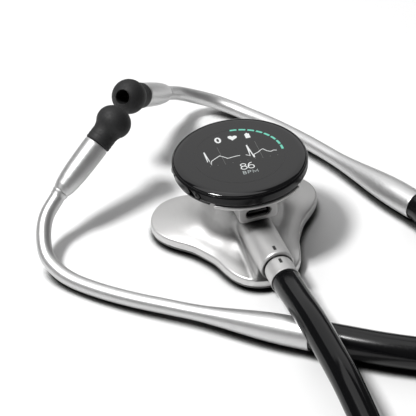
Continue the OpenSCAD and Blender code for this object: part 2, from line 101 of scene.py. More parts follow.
def mesh_piece(name, verts, faces, material, sharp=35):
    """A smooth-shaded mesh object from millimetre vertices."""
    mesh = bpy.data.meshes.new(name)
    mesh.from_pydata([tuple(v) for v in np.asarray(verts, float) * MM], [], faces)
    mesh.update()
    mesh.shade_smooth()
    mesh.set_sharp_from_angle(angle=math.radians(sharp))
    mesh.materials.append(material)
    obj = bpy.data.objects.new(name, mesh)
    bpy.context.scene.collection.objects.link(obj)
    return obj


def loft(rings, loop=False):
    """Vertices and faces of a skin over rings of points. Rings of one point close to a tip."""
    verts, starts = [], []
    for r in rings:
        starts.append(len(verts))
        verts.extend(r)
    faces = []
    pairs = list(zip(range(len(rings) - 1), range(1, len(rings))))
    if loop:
        pairs.append((len(rings) - 1, 0))
    for i, j in pairs:
        a, b = starts[i], starts[j]
        na, nb = len(rings[i]), len(rings[j])
        n = max(na, nb)
        for k in range(n):
            m = (k + 1) % n
            if na == 1:
                faces.append((a, b + k, b + m))
            elif nb == 1:
                faces.append((a + k, b, a + m))
            else:
                faces.append((a + k, b + k, b + m, a + m))
    if not loop:
        if len(rings[0]) > 1:
            faces.append(tuple(starts[0] + k for k in range(len(rings[0]))))
        if len(rings[-1]) > 1:
            faces.append(tuple(starts[-1] + k for k in range(len(rings[-1]) - 1, -1, -1)))
    return verts, faces


def rounded(points, steps=5, loop=False):
    """A line of (s, r, corner radius) with each corner turned into an arc."""
    out = []
    n = len(points)
    for i, p in enumerate(points):
        here = np.array(p[:2], float)
        radius = p[2] if len(p) > 2 else 0
        if radius == 0 or (not loop and i in (0, n - 1)):
            out.append(tuple(here))
            continue
        before = unit(np.array(points[i - 1][:2]) - here)
        after = unit(np.array(points[(i + 1) % n][:2]) - here)
        half = math.acos(max(-1, min(1, float(before @ after)))) / 2
        reach = radius / math.tan(half)
        centre = here + unit(before + after) * radius / math.sin(half)
        a, b = here + before * reach - centre, here + after * reach - centre
        turn = math.atan2(a[0] * b[1] - a[1] * b[0], float(a @ b))
        for k in range(steps + 1):
            t = turn * k / steps
            out.append((centre[0] + a[0] * math.cos(t) - a[1] * math.sin(t),
                        centre[1] + a[0] * math.sin(t) + a[1] * math.cos(t)))
    return out


class Path:
    """A smooth curve through route points, with a frame carried along it without twist."""

    def __init__(self, route, per=10):
        p = np.asarray(route, float)
        n = len(p) - 1
        pts = []
        for k in range(n * per + 1):
            i = min(k // per, n - 1)
            u = k / per - i
            p1, p2 = p[i], p[i + 1]
            p0 = p[i - 1] if i > 0 else 2 * p1 - p2
            p3 = p[i + 2] if i < n - 1 else 2 * p2 - p1
            pts.append(0.5 * (2 * p1 + (p2 - p0) * u + (2 * p0 - 5 * p1 + 4 * p2 - p3) * u * u
                              + (3 * p1 - p0 - 3 * p2 + p3) * u ** 3))
        self.pts = np.array(pts)
        steps = np.linalg.norm(np.diff(self.pts, axis=0), axis=1)
        self.s = np.concatenate([[0], np.cumsum(steps)])
        self.length = float(self.s[-1])
        t = np.gradient(self.pts, self.s, axis=0)
        self.t = t / np.linalg.norm(t, axis=1)[:, None]
        x = np.cross(self.t[0], (0, 0, 1))
        if np.linalg.norm(x) < 0.1:
            x = np.array((1.0, 0, 0))
        xs = []
        for tangent in self.t:
            x = unit(x - tangent * float(x @ tangent))
            xs.append(x)
        self.x = np.array(xs)

    def at(self, s):
        c = min(max(s, 0), self.length)
        pick = [np.array([np.interp(c, self.s, col[:, k]) for k in range(3)])
                for col in (self.pts, self.t, self.x)]
        point, t, x = pick[0], unit(pick[1]), pick[2]
        x = unit(x - t * float(x @ t))
        return point + t * (s - c), t, x, np.cross(t, x)

    def ring(self, s, r, sides):
        c, _, x, y = self.at(s)
        if r < 1e-6:
            return [c]
        a = np.linspace(0, 2 * math.pi, sides, endpoint=False)[:, None]
        return list(c + r * (np.cos(a) * x + np.sin(a) * y))


def swept(name, path, stations, material, sides=64, loop=False, sharp=35):
    """A round piece: its radius at each distance along a path."""
    rings = [path.ring(s, r, sides) for s, r in stations]
    verts, faces = loft(rings, loop)
    return mesh_piece(name, verts, faces, material, sharp)


def along(start, direction):
    """A straight path from start."""
    start = np.asarray(start, float)
    return Path([start, start + unit(direction) * 10.0])


def attach(piece, body, slot, *replaced):
    """The piece rides on a body and stands for CAD nodes, which it hides; the slot is not used."""
    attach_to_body(piece, body)
    if replaced:
        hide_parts(*replaced)
    return piece


# ---------------------------------------------------------------- distance-field helpers
def soft_min(a, b, k):
    h = np.clip(0.5 + 0.5 * (b - a) / k, 0, 1)
    return b + (a - b) * h - k * h * (1 - h)


def soft_max(a, b, k):
    return -soft_min(-a, -b, k)


def length2(a, b):
    return np.sqrt(a * a + b * b)


def box_field(dx, dy, dz, r):
    """A rounded box, from how far a point is past each pair of faces."""
    dx, dy, dz = dx + r, dy + r, dz + r
    out = np.sqrt(np.maximum(dx, 0) ** 2 + np.maximum(dy, 0) ** 2 + np.maximum(dz, 0) ** 2)
    return out + np.minimum(np.maximum(dx, np.maximum(dy, dz)), 0) - r


def capped_field(side, end, r):
    """A body with one side face and flat ends, with its rim rounded."""
    a, b = side + r, end + r
    return length2(np.maximum(a, 0), np.maximum(b, 0)) + np.minimum(np.maximum(a, b), 0) - r


def slope_of(field, x, y, z, h=0.02):
    gx = (field(x + h, y, z) - field(x - h, y, z)) / (2 * h)
    gy = (field(x, y + h, z) - field(x, y - h, z)) / (2 * h)
    gz = (field(x, y, z + h) - field(x, y, z - h)) / (2 * h)
    return gx, gy, gz


def even(field):
    """The same surface with its field scaled to run like a distance near it."""
    def scaled(x, y, z):
        gx, gy, gz = slope_of(field, x, y, z)
        return field(x, y, z) / np.maximum(np.sqrt(gx * gx + gy * gy + gz * gz), 0.05)
    return scaled


def field_piece(name, field, low, high, voxel, material, sharp=50):
    """A mesh of the surface where the field is zero, with its points pulled onto it."""
    axes = [np.arange(a, b + voxel, voxel) for a, b in zip(low, high)]
    x, y, z = np.meshgrid(*axes, indexing="ij")
    grid = openvdb.FloatGrid(3.0)
    grid.copyFromArray(field(x, y, z).astype(np.float32))
    pts, quads = grid.convertToQuads(isovalue=0.0)
    p = pts.astype(float) * voxel + np.array(low)
    for _ in range(3):
        f = field(*p.T)
        g = np.array(slope_of(field, *p.T)).T
        size = np.maximum((g * g).sum(1), 0.05)
        p = p - np.clip(f / size, -voxel, voxel)[:, None] * g
    return mesh_piece(name, p, [tuple(int(i) for i in q) for q in quads], material, sharp)


def cut(piece, cutters):
    """Takes the cutters out of a piece, and removes them."""
    for c in cutters:
        mod = piece.modifiers.new("cut", "BOOLEAN")
        mod.operation = "DIFFERENCE"
        mod.solver = "EXACT"
        mod.object = c
    bpy.context.view_layer.update()
    graph = bpy.context.evaluated_depsgraph_get()
    mesh = bpy.data.meshes.new_from_object(piece.evaluated_get(graph))
    old = piece.data
    piece.modifiers.clear()
    piece.data = mesh
    bpy.data.meshes.remove(old)
    for c in cutters:
        bpy.data.objects.remove(c)
    piece.data.set_sharp_from_angle(angle=math.radians(35))


# ---------------------------------------------------------------- materials
def shader(name, colour, metallic=0.0, roughness=0.5, **sockets):
    mat = bpy.data.materials.new(name)
    mat.use_nodes = True
    bsdf = mat.node_tree.nodes["Principled BSDF"]
    bsdf.inputs["Base Color"].default_value = (*colour, 1)
    bsdf.inputs["Metallic"].default_value = metallic
    bsdf.inputs["Roughness"].default_value = roughness
    for key, value in sockets.items():
        bsdf.inputs[key.replace("_", " ")].default_value = value
    return mat


def noise_node(mat, scale, detail=2.0):
    tree = mat.node_tree
    coord = tree.nodes.new("ShaderNodeTexCoord")
    noise = tree.nodes.new("ShaderNodeTexNoise")
    noise.inputs["Scale"].default_value = scale
    noise.inputs["Detail"].default_value = detail
    tree.links.new(coord.outputs["Object"], noise.inputs["Vector"])
    return noise


def ramp_node(mat, source, low, high):
    node = mat.node_tree.nodes.new("ShaderNodeMapRange")
    node.inputs["From Min"].default_value = 0.3
    node.inputs["From Max"].default_value = 0.7
    node.inputs["To Min"].default_value = low
    node.inputs["To Max"].default_value = high
    mat.node_tree.links.new(source.outputs["Fac"], node.inputs["Value"])
    return node


def add_grain(mat, size, depth):
    """Fine relief: size across a grain and depth, both in millimetres."""
    noise = noise_node(mat, 1 / (size * MM))
    bump = mat.node_tree.nodes.new("ShaderNodeBump")
    bump.inputs["Strength"].default_value = 1.0
    bump.inputs["Distance"].default_value = depth * MM
    mat.node_tree.links.new(noise.outputs["Fac"], bump.inputs["Height"])
    mat.node_tree.links.new(bump.outputs["Normal"],
                            mat.node_tree.nodes["Principled BSDF"].inputs["Normal"])


def add_roughness(mat, size, low, high):
    noise = noise_node(mat, 1 / (size * MM), 3.0)
    out = ramp_node(mat, noise, low, high)
    mat.node_tree.links.new(out.outputs["Result"],
                            mat.node_tree.nodes["Principled BSDF"].inputs["Roughness"])


def add_tint(mat, size, dark, light):
    noise = noise_node(mat, 1 / (size * MM), 3.0)
    mix = mat.node_tree.nodes.new("ShaderNodeMix")
    mix.data_type = "RGBA"
    mix.inputs[6].default_value = (*dark, 1)
    mix.inputs[7].default_value = (*light, 1)
    mat.node_tree.links.new(noise.outputs["Fac"], mix.inputs[0])
    mat.node_tree.links.new(mix.outputs[2],
                            mat.node_tree.nodes["Principled BSDF"].inputs["Base Color"])


def add_hollow_shade(mat, reach, least, low, high, wall_top):
    """Darkens the colour in hollows within a reach, but not on the wall below a height (mm)."""
    tree = mat.node_tree
    base = tree.nodes["Principled BSDF"].inputs["Base Color"]
    tint = base.links[0].from_socket
    near = tree.nodes.new("ShaderNodeAmbientOcclusion")
    near.samples = 20
    near.inputs["Distance"].default_value = reach * MM
    fade = map_node(mat, near.outputs["AO"], low, high, least, 1.0)
    coord = tree.nodes.new("ShaderNodeTexCoord")
    split = tree.nodes.new("ShaderNodeSeparateXYZ")
    tree.links.new(coord.outputs["Object"], split.inputs["Vector"])
    wall = map_node(mat, split.outputs["Z"], wall_top * MM, (wall_top + 0.7) * MM, 1.0, 0.0)
    either = tree.nodes.new("ShaderNodeMath")
    either.operation = "MAXIMUM"
    tree.links.new(fade, either.inputs[0])
    tree.links.new(wall, either.inputs[1])
    mix = tree.nodes.new("ShaderNodeMix")
    mix.data_type = "RGBA"
    mix.blend_type = "MULTIPLY"
    mix.inputs[0].default_value = 1.0
    tree.links.new(tint, mix.inputs[6])
    tree.links.new(either.outputs[0], mix.inputs[7])
    tree.links.new(mix.outputs[2], base)


def map_node(mat, source, from_low, from_high, to_low, to_high):
    node = mat.node_tree.nodes.new("ShaderNodeMapRange")
    node.interpolation_type = "SMOOTHSTEP"
    for key, value in (("From Min", from_low), ("From Max", from_high), ("To Min", to_low),
                       ("To Max", to_high)):
        node.inputs[key].default_value = value
    mat.node_tree.links.new(source, node.inputs["Value"])
    return node.outputs["Result"]


# painted_shade below 1 darkens a copy of the satin metal, as painted shade
def satin_metal(name, painted_shade=1.0):
    mat = shader(name, (0.7, 0.7, 0.7), 0.7, 0.44)
    add_tint(mat, 6, tuple(painted_shade * c for c in (0.655, 0.65, 0.645)),
             tuple(painted_shade * c for c in (0.69, 0.685, 0.68)))
    add_roughness(mat, 0.9, 0.42, 0.45)
    add_grain(mat, 0.3, 0.004)
    return mat


def shell_metal():
    mat = satin_metal("shell_metal")
    add_hollow_shade(mat, 60, 0.14, 0.34, 0.68, 5.2)
    add_hollow_shade(mat, 12, 0.25, 0.5, 0.88, 5.2)
    return mat


def ear_metal():
    mat = shader("ear_metal", (0.63, 0.63, 0.63), 0.9, 0.44)
    add_tint(mat, 8, (0.61, 0.61, 0.61), (0.66, 0.66, 0.66))
    add_roughness(mat, 0.9, 0.4, 0.49)
    add_grain(mat, 0.36, 0.013)
    return mat


def plain(name, colour, metallic, rough, grain_size, grain_depth, spread=0.08, **sockets):
    """A material with small changes of tone and gloss over its surface, and fine relief."""
    mat = shader(name, colour, metallic, rough, **sockets)
    add_tint(mat, 5, tuple(c * (1 - spread) for c in colour), tuple(c * (1 + spread) for c in colour))
    add_roughness(mat, 0.8, rough * 0.88, rough * 1.1)
    add_grain(mat, grain_size, grain_depth)
    return mat


def glowing(name, colour, strength):
    mat = shader(name, tuple(c * 0.03 for c in colour), 0.0, 0.3)
    bsdf = mat.node_tree.nodes["Principled BSDF"]
    bsdf.inputs["Emission Color"].default_value = (*colour, 1)
    bsdf.inputs["Emission Strength"].default_value = strength
    return mat


M = {
    "satin_metal": satin_metal("satin_metal"),
    "shell_metal": shell_metal(),
    # painted shade: the saddle under the head uses the satin metal darkened to 0.72
    "saddle_metal": satin_metal("saddle_metal", 0.72),
    "ear_tube_metal": ear_metal(),
    "bright_metal": plain("bright_metal", (0.75, 0.75, 0.75), 1.0, 0.14, 0.3, 0.002, 0.03),
    # painted shade: the port liner's bright metal is drawn dark so the port's opening reads as shaded
    "port_metal": plain("port_metal", (0.1, 0.1, 0.1), 1.0, 0.35, 0.3, 0.002, 0.03),
    "contact_metal": plain("contact_metal", (0.68, 0.68, 0.67), 1.0, 0.24, 0.2, 0.004, 0.04),
    "spring_steel": plain("spring_steel", (0.55, 0.55, 0.55), 1.0, 0.3, 0.3, 0.004),
    "black_plate": plain("black_plate", (0.012, 0.012, 0.013), 0.0, 0.42, 0.25, 0.012),
    "grey_trim": plain("grey_trim", (0.16, 0.16, 0.16), 0.0, 0.45, 0.3, 0.006),
    "mark_ink": plain("mark_ink", (0.02, 0.02, 0.02), 0.0, 0.5, 0.3, 0.002),
    "black_housing": plain("black_housing", (0.003, 0.003, 0.0035), 0.0, 0.18, 0.18, 0.001, IOR=1.33),
    "black_button": plain("black_button", (0.004, 0.004, 0.004), 0.0, 0.2, 0.2, 0.001, IOR=1.4),
    "black_seal": plain("black_seal", (0.01, 0.01, 0.01), 0.0, 0.6, 0.3, 0.01),
    "lens_glass": plain("lens_glass", (0.004, 0.004, 0.0045), 0.0, 0.05, 2.0, 0.0002, 0.05),
    "display": plain("display", (0.01, 0.01, 0.012), 0.0, 0.2, 0.4, 0.001),
    "board": plain("board", (0.02, 0.12, 0.05), 0.0, 0.35, 0.5, 0.01),
    "cell": plain("cell", (0.2, 0.32, 0.5), 0.0, 0.3, 1.0, 0.01),
    "flex": plain("flex", (0.5, 0.25, 0.05), 0.0, 0.3, 1.0, 0.01),
    "diaphragm_film": plain("diaphragm_film", (0.14, 0.14, 0.15), 0.0, 0.32, 0.5, 0.006),
    "mic": plain("mic", (0.7, 0.55, 0.25), 1.0, 0.25, 0.4, 0.004),
    "tubing": plain("tubing", (0.003, 0.003, 0.0035), 0.0, 0.13, 0.9, 0.0012, 0.1, IOR=1.36),
    "branch_tubing": plain("branch_tubing", (0.003, 0.003, 0.0035), 0.0, 0.2, 0.9, 0.0008, 0.1, IOR=1.4),
    "silicone": plain("silicone", (0.01, 0.01, 0.0105), 0.0, 0.68, 0.12, 0.008, 0.1),
}
GLOW_WHITE = glowing("display_white", (0.9, 0.92, 0.92), 0.9)
GLOW_SOFT = glowing("display_soft", (0.8, 0.88, 0.88), 0.6)
GLOW_TEAL = glowing("display_teal", (0.16, 0.66, 0.5), 0.92)
GLOW_DIM = glowing("display_dim", (0.2, 0.2, 0.2), 0.6)
GLOW_FAINT = glowing("display_faint", (0.03, 0.03, 0.03), 0.3)


def dress_cad_nodes():
    slots = {row["node"]: row["material_slot"] for row in frame["record"]["subparts"]}
    for name, obj in nodes.items():
        obj.data.materials.clear()
        obj.data.materials.append(M[slots[name]])


dress_cad_nodes()


# ---------------------------------------------------------------- main tube
TUBE_R = 4.9
TUBE_ROUTE = [
    (0, -46.5, 14.2), (0, -58, 15.6), (0, -72, 17.2), (0, -88, 17.5), (0, -104, 17),
    (0, -122, 13.5), (0, -142, 8.5), (0, -163, 5.6), (0, -184, 5), (5, -207, 5), (18, -226, 5),
    (37, -239, 5), (60, -244, 5), (78, -244, 5), (98, -238, 5), (115, -225, 5), (127, -207, 5),
    (131, -186, 5), (128, -165, 5), (121, -149, 5.5), (113, -139, 6)]


def make_main_tube():
    path = Path(TUBE_ROUTE)
    steps = int(path.length / 1.5)
    stations = [(path.length * k / steps, TUBE_R) for k in range(steps + 1)]
    piece = swept("main_tube_skin", path, stations, M["tubing"], 72)
    attach(piece, "headset", "tubing", "main_tube")
    line = [tuple(p * MM) for p in path.pts[::3]]
    if len(path.pts) % 3 != 1:
        line.append(tuple(path.pts[-1] * MM))


make_main_tube()

# ---------------------------------------------------------------- chestpiece base
LOBE_MEAN = 27.6
LOBE_SWING = 6.7
LOBE_SIXTH = 0.2
LOBE_NINTH = -0.4
LOBE_TURN = 30
LOBE_DIRS = (-90, 30, 150)
TRIM_Z = (1.9, 2.3)
SEAL_Z = (2.3, 2.7)
SHELL_Z0 = 2.7
NECK_R = 11.5
NECK_TOP = 29.2
OUTLET_Z = 14.2
BARREL_R = 6.1
BARREL_START = 6
BARREL_END = 38.4
WEB_HALF = 5.2
WEB_FLARE = 0.16
WEB_FLOOR = 4
SOCKET_R = 4.35
SOCKET_START = 30
# the black plate's edge: height, and how far it stands inside the outline
PLATE_EDGE = [(0.0, 2.5), (0.12, 2.1), (0.35, 1.93), (1.9, 1.9)]
DIAPHRAGM_SEAT_R = 16.95
ELECTRODE_AT = 23.5
ELECTRODE_SEAT_R = 4.52
SCREW_AT = 24.5
SCREW_SPREAD = 20
SCREW_SEAT_R = 1.35
# the shell's top surface: height, and how far it has closed in from the outline to the neck
SHELL_RISE = [(4.6, -0.3), (5.3, -0.08), (5.75, 0.03), (6.5, 0.2), (7.3, 0.4), (8.4, 0.58),
              (9.8, 0.72), (11.8, 0.83), (14.4, 0.915), (18.0, 0.975), (22.0, 1.0), (30.0, 1.0)]


def lobe_radius(a):
    b = a - math.radians(LOBE_TURN)
    return (LOBE_MEAN + LOBE_SWING * np.cos(3 * b) + LOBE_SIXTH * np.cos(6 * b)
            + LOBE_NINTH * np.cos(9 * b))


def outline(inset, z, count=360):
    a = np.linspace(0, 2 * math.pi, count, endpoint=False)
    r = lobe_radius(a) - inset
    return list(np.stack([r * np.cos(a), r * np.sin(a), np.full_like(a, z)], 1))


def monotone(points):
    """A smooth rising curve through points, as a function of arrays."""
    x, y = (np.array(c, float) for c in zip(*points))
    step = np.diff(x)
    slope = np.diff(y) / step
    m = np.zeros_like(y)
    for i in range(1, len(x) - 1):
        if slope[i - 1] * slope[i] > 0:
            w1, w2 = 2 * step[i] + step[i - 1], step[i] + 2 * step[i - 1]
            m[i] = (w1 + w2) / (w1 / slope[i - 1] + w2 / slope[i])
    m[0], m[-1] = slope[0], slope[-1]

    def curve(v):
        v = np.clip(v, x[0], x[-1])
        i = np.clip(np.searchsorted(x, v) - 1, 0, len(x) - 2)
        t = (v - x[i]) / step[i]
        return ((2 * t ** 3 - 3 * t ** 2 + 1) * y[i] + (t ** 3 - 2 * t ** 2 + t) * step[i] * m[i]
                + (3 * t ** 2 - 2 * t ** 3) * y[i + 1] + (t ** 3 - t ** 2) * step[i] * m[i + 1])
    return curve


rise = monotone(SHELL_RISE)


def shell_side(x, y, z):
    return length2(x, y) - lobe_radius(np.arctan2(y, x))


def shell_top(x, y, z):
    edge = lobe_radius(np.arctan2(y, x))
    f = rise(z)
    return length2(x, y) - (edge * (1 - f) + NECK_R * f)


def shell_field(x, y, z):
    side = even(shell_side)(x, y, z)
    body = soft_max(side, even(shell_top)(x, y, z), 0.7)
    body = np.maximum(soft_max(body, SHELL_Z0 - z, 0.2), z - NECK_TOP)
    r = length2(x, z - OUTLET_Z)
    barrel = capped_field(r - BARREL_R, np.maximum(-y - BARREL_END, y + BARREL_START), 0.8)
    flank = np.abs(x) - WEB_HALF - WEB_FLARE * (OUTLET_Z - z)
    web = np.maximum(np.maximum(flank, z - OUTLET_Z), np.maximum(WEB_FLOOR - z, y + BARREL_START))
    web = soft_max(web, side - 0.15, 0.8)
    arm = soft_min(barrel, web, 1.2)
    whole = soft_min(body, arm, 1.6)
    mouth = np.maximum(r - SOCKET_R, y + SOCKET_START)
    return np.maximum(whole, -mouth)


def make_shell():
    low, high = (-34.5, -39.5, 2.0), (34.5, 28.0, 30.0)
    piece = field_piece("base_shell_skin", shell_field, low, high, 0.42, M["shell_metal"])
    attach(piece, "chestpiece", "satin_metal", "base_shell")


def make_plate():
    rings = [outline(inset, z) for z, inset in PLATE_EDGE]
    verts, faces = loft(rings)
    piece = mesh_piece("base_plate_skin", verts, faces, M["black_plate"])
    cutters = [cylinder_cutter((0, 0, -1), DIAPHRAGM_SEAT_R, 6)]
    for a in LOBE_DIRS:
        cutters.append(cylinder_cutter(polar(ELECTRODE_AT, a, -1), ELECTRODE_SEAT_R, 2))
        for s in (-SCREW_SPREAD, SCREW_SPREAD):
            cutters.append(cylinder_cutter(polar(SCREW_AT, a + s, -1), SCREW_SEAT_R, 2.2))
    cut(piece, cutters)
    attach(piece, "chestpiece", "black_plate", "base_plate")


def polar(r, a, z):
    return (r * math.cos(math.radians(a)), r * math.sin(math.radians(a)), z)


def cylinder_cutter(base, r, h):
    return swept("cutter", along(base, (0, 0, 1)), [(0, r), (h, r)], M["black_plate"], 64)


def band(name, z0, z1, inset, depth, material, slot, node):
    edge = min(0.08, (z1 - z0) / 4)
    section = [(z0, inset + depth), (z0, inset + edge), (z0 + edge, inset), (z1 - edge, inset),
               (z1, inset + edge), (z1, inset + depth)]
    verts, faces = loft([outline(i, z) for z, i in section], loop=True)
    piece = mesh_piece(name, verts, faces, M[material])
    attach(piece, "chestpiece", slot, node)


def make_base():
    make_shell()
    make_plate()
    band("trim_band", *TRIM_Z, 0.25, 2.9, "grey_trim", "grey_trim", "trim_ring")
    band("seal_band", *SEAL_Z, 0.5, 1.4, "black_seal", "black_seal", "base_seal")


make_base()


# ---------------------------------------------------------------- head
HEAD_Z0 = 30.7
HEAD_Z1 = 34.8
HEAD_R = 24.2
LENS_R = 23.7
LENS_TOP = 35.8
LENS_BEVEL = 2.6
PORT_Z = 24.1
PORT_FACE = 19.4
BOX_LOW = 20.6
BOX_HIGH = 30.4
BOX_HALF = 7.25
BOX_BACK = 8
BOX_CORNER = 2.2
SLOT = (9.3, 3.4)
SLOT_BACK = 12.0
LINER_OUT = (9.28, 3.38)
LINER_IN = (8.5, 2.6)
LINER_BACK = 12.2
LINER_FRONT = 18.5
DISC_R = 13.0
BAR_IN_R = 12.0
BAR_SPAN = 41.5
CONTROL_Z = 32.85
CONTROL_H = 2.1
POCKET_H = 2.9
ROCKER_DIR = 192
ROCKER_W = 20.7
ROCKER_POCKET_W = 21.5
BUMP_DIR = ROCKER_DIR + 21
POWER_DIR = 0
POWER_W = 8.2
POWER_POCKET_W = 9.3
UP = along((0, 0, 0), (0, 0, 1))


def stadium_field(x, z, width, height):
    half = (width - height) / 2
    return length2(np.maximum(np.abs(x) - half, 0), z) - height / 2


def saddle_field(x, y, z):
    r = length2(x, y)
    disc = capped_field(r - DISC_R, np.maximum(z - HEAD_Z0, NECK_TOP - z), 0.25)
    a = np.degrees(np.arctan2(x, -y))
    ends = np.radians(np.abs(a) - BAR_SPAN) * r
    bar = np.maximum(r - (HEAD_R - 0.2), BAR_IN_R - r)
    bar = capped_field(np.maximum(bar, ends), np.maximum(z - HEAD_Z0, NECK_TOP - z), 0.65)
    port = box_field(np.abs(x) - BOX_HALF,
                     np.abs(y + (PORT_FACE + BOX_BACK) / 2) - (PORT_FACE - BOX_BACK) / 2,
                     np.abs(z - (BOX_LOW + BOX_HIGH) / 2) - (BOX_HIGH - BOX_LOW) / 2, 0.55)
    corner = length2(np.maximum(np.abs(x) - (BOX_HALF - BOX_CORNER), 0),
                     np.maximum(BOX_LOW + BOX_CORNER - z, 0)) - BOX_CORNER
    port = soft_max(port, corner, 0.5)
    body = soft_min(soft_min(disc, bar, 0.3), port, 1.2)
    body = np.maximum(body, z - HEAD_Z0)
    body = np.maximum(body, -np.maximum(r - NECK_R - 0.02, z - NECK_TOP))
    slot = np.maximum(stadium_field(x, z - PORT_Z, *SLOT), y + SLOT_BACK)
    return soft_max(body, -slot, 0.35)


def make_saddle():
    low, high = (-18.5, -25.0, 20.0), (18.5, 14.0, 31.2)
    piece = field_piece("head_saddle_skin", saddle_field, low, high, 0.26, M["saddle_metal"])
    attach(piece, "chestpiece", "satin_metal", "head_saddle")


def make_port_shell():
    """The port's liner, set back a little from the saddle's face, in dark metal that paints the shade
    inside the port.
    """
    rings = []
    for y, (w, h) in ((LINER_BACK, LINER_OUT), (LINER_FRONT, LINER_OUT),
                      (LINER_FRONT, LINER_IN), (LINER_BACK, LINER_IN)):
        half = (w - h) / 2
        ring = []
        for k in range(48):
            t = 2 * math.pi * k / 48
            shift = half if math.cos(t) > 0 else -half
            ring.append(np.array((shift + h / 2 * math.cos(t), -y, PORT_Z + h / 2 * math.sin(t))))
        rings.append(ring)
    verts, faces = loft(rings, loop=True)
    attach(mesh_piece("port_shell_skin", verts, faces, M["port_metal"]), "chestpiece", "bright_metal",
           "port_shell")


def lozenge(direction, width, height, r):
    """An outline round the head's rim: a stadium in angle and height at radius r."""
    out = []
    half = width / 2 - height / 2
    for k in range(48):
        t = 2 * math.pi * k / 48
        along_rim = half * (1 if math.cos(t) > 0 else -1) + height / 2 * math.cos(t)
        a = math.radians(direction) + along_rim / HEAD_R
        out.append(np.array((r * math.cos(a), r * math.sin(a), CONTROL_Z + height / 2 * math.sin(t))))
    return out


def lozenge_block(name, direction, width, height, stations, material):
    rings = [lozenge(direction, width - 2 * i, height - 2 * i, r) for r, i in stations]
    verts, faces = loft(rings[::-1])
    return mesh_piece(name, verts, faces, M[material])


def make_housing():
    section = [(HEAD_Z0, 0), (HEAD_Z0, 23.1, 0.5), (31.7, HEAD_R, 0.9), (34.35, HEAD_R, 0.3),
               (34.78, 23.95, 0.12), (34.78, 23.8), (34.5, 23.75), (34.5, 0)]
    piece = swept("head_housing_skin", UP, rounded(section), M["black_housing"], 256)
    pocket = [(22.6, 0), (26.0, 0)]
    cut(piece, [
        lozenge_block("cutter", ROCKER_DIR, ROCKER_POCKET_W, POCKET_H, pocket, "black_plate"),
        lozenge_block("cutter", POWER_DIR, POWER_POCKET_W, POCKET_H, pocket, "black_plate")])
    attach(piece, "chestpiece", "black_housing", "head_housing")


def arc_bar(name, section, start, end, material, steps=96):
    """A bar of one section bent round the head's axis between two angles."""
    rings = []
    for k in range(steps + 1):
        a = math.radians(start + (end - start) * k / steps)
        rings.append([np.array((r * math.cos(a), r * math.sin(a), z)) for z, r in section])
    verts, faces = loft(rings)
    return mesh_piece(name, verts, faces, material)


def make_skirt():
    section = rounded([(HEAD_Z0 + 0.2, 20.6), (HEAD_Z0 + 0.2, 23.55), (HEAD_Z0 - 0.65, 23.45, 0.3),
                       (HEAD_Z0 - 0.65, 20.6, 0.2)], 4, True)
    piece = arc_bar("head_skirt", section[::-1], -44, 224, M["black_housing"])
    attach(piece, "chestpiece", "black_housing")


def make_lens():
    rim = [(HEAD_Z1 - 0.28, 0), (HEAD_Z1 - 0.28, LENS_R - 0.05), (HEAD_Z1 + 0.1, LENS_R)]
    steps = 20
    for k in range(steps + 1):
        a = math.pi / 2 * k / steps
        rim.append((HEAD_Z1 + 0.15 + (LENS_TOP - HEAD_Z1 - 0.15) * math.sin(a),
                    LENS_R - LENS_BEVEL * (1 - math.cos(a))))
    rim.append((LENS_TOP, 12.0))
    rim.append((LENS_TOP, 0))
    piece = swept("display_lens_skin", UP, rim, M["lens_glass"], 256, sharp=60)
    attach(piece, "chestpiece", "lens_glass", "display_lens")


def make_controls():
    rocker = [(23.2, 0), (24.0, 0), (24.3, 0.15), (24.42, 0.5), (24.42, 1.0)]
    piece = lozenge_block("volume_rocker_skin", ROCKER_DIR, ROCKER_W, CONTROL_H, rocker,
                          "black_button")
    attach(piece, "volume_rocker", "black_button", "volume_rocker")
    base = np.array(polar(24.1, BUMP_DIR, CONTROL_Z))
    bump = [(0, 0.8), (0.25, 0.8), (0.4, 0.6), (0.48, 0.3), (0.5, 0)]
    piece = swept("rocker_bump", along(base, polar(1, BUMP_DIR, 0)), bump, M["black_button"], 24)
    attach(piece, "volume_rocker", "black_button")
    power = [(23.2, 0), (24.1, 0), (24.38, 0.15), (24.5, 0.5), (24.5, 0.95)]
    piece = lozenge_block("power_button_skin", POWER_DIR, POWER_W, CONTROL_H, power, "black_button")
    attach(piece, "power_button", "black_button", "power_button")


def make_head():
    make_saddle()
    make_port_shell()
    make_housing()
    make_skirt()
    make_lens()
    make_controls()


make_head()


# ---------------------------------------------------------------- display graphics
SCREEN_Z = LENS_TOP + 0.004
INK = 0.02
METER_R = 15.73
METER_FIRST = 79.7
METER_STEP = 11.75
METER_HALF = 4.5
READING_AT = (0.55, -6.9)
READING_TILT = -5.0
UNIT_AT = (-2.1, -11.2)


def ribbon(name, points, width, material, loop=False):
    """A flat line of one width, drawn on the glass."""
    p = np.array([q[:2] for q in points], float)
    n = len(p)
    rings = []
    for i in range(n):
        a = p[i - 1] if i > 0 or loop else p[i]
        b = p[(i + 1) % n] if i < n - 1 or loop else p[i]
        before = unit(p[i] - a) if np.linalg.norm(p[i] - a) > 0 else unit(b - p[i])
        after = unit(b - p[i]) if np.linalg.norm(b - p[i]) > 0 else before
        t = before + after
        t = unit(t) if np.linalg.norm(t) > 0.3 else before
        stretch = min(1.6, 1 / max(0.4, float(t @ after)))
        side = np.array((-t[1], t[0])) * width / 2 * stretch
        rings.append([np.array((*(p[i] + side), SCREEN_Z)), np.array((*(p[i] - side), SCREEN_Z)),
                      np.array((*(p[i] - side), SCREEN_Z + INK)),
                      np.array((*(p[i] + side), SCREEN_Z + INK))])
    verts, faces = loft(rings, loop)
    return mesh_piece(name, verts, faces, material, 20)


def patch(name, points, material):
    """A flat filled shape on the glass."""
    low = [np.array((x, y, SCREEN_Z)) for x, y in points]
    high = [np.array((x, y, SCREEN_Z + INK)) for x, y in points]
    verts, faces = loft([low, high])
    return mesh_piece(name, verts, faces, material, 20)


